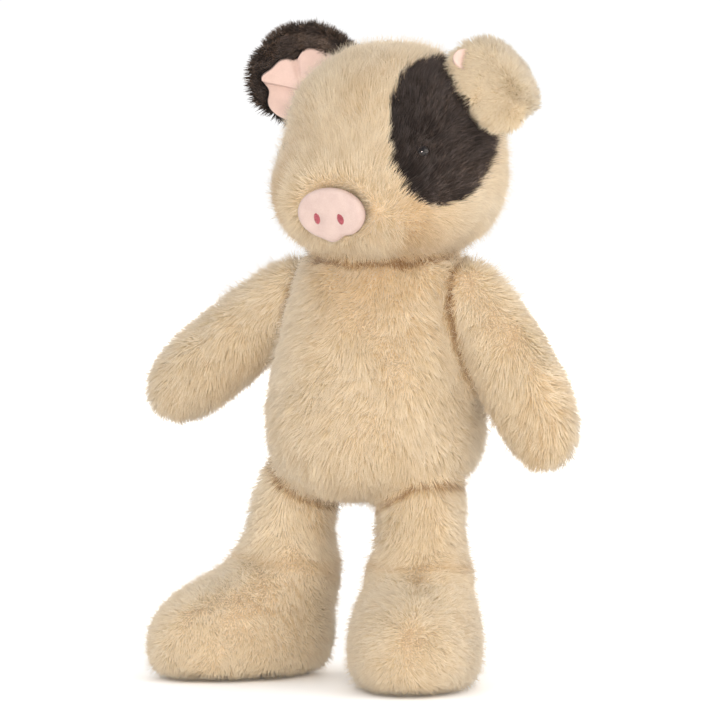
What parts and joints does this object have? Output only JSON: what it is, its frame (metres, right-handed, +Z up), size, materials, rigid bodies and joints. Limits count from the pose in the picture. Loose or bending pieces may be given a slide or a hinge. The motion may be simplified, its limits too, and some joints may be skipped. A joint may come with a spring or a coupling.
{
  "type": "plush pig toy",
  "caption": "Standing soft toy pig in long plush, with a stuffed snout, bead eyes, one open and one folded ear, a dark patch round one eye and a curled tail.",
  "frame": {"origin": "on the floor, under the middle of the bounding box", "axes": "+Z up, the toy faces -Y, its own left side is +X"},
  "size_m": [0.263, 0.166, 0.3428],
  "materials": {
    "plush_cream": "long-pile faux fur, cream tips over tan roots",
    "plush_charcoal": "long-pile faux fur, charcoal",
    "velour_pink": "short velour, matt",
    "embroidery_red": "satin-stitched thread",
    "eye_black": "glossy bead"
  },
  "bodies": {
    "root": {"head": "plush_cream", "snout": "velour_pink", "nostril_left": "embroidery_red", "nostril_right": "embroidery_red", "eye_left": "eye_black", "eye_right": "eye_black", "ear_left": "plush_cream", "ear_lining_left": "velour_pink", "ear_right": "plush_charcoal", "ear_lining_right": "velour_pink", "trunk": "plush_cream", "arm_left": "plush_cream", "arm_right": "plush_cream", "leg_left": "plush_cream", "leg_right": "plush_cream", "foot_left": "plush_cream", "foot_right": "plush_cream", "tail": "velour_pink"}
  },
  "joints": []
}
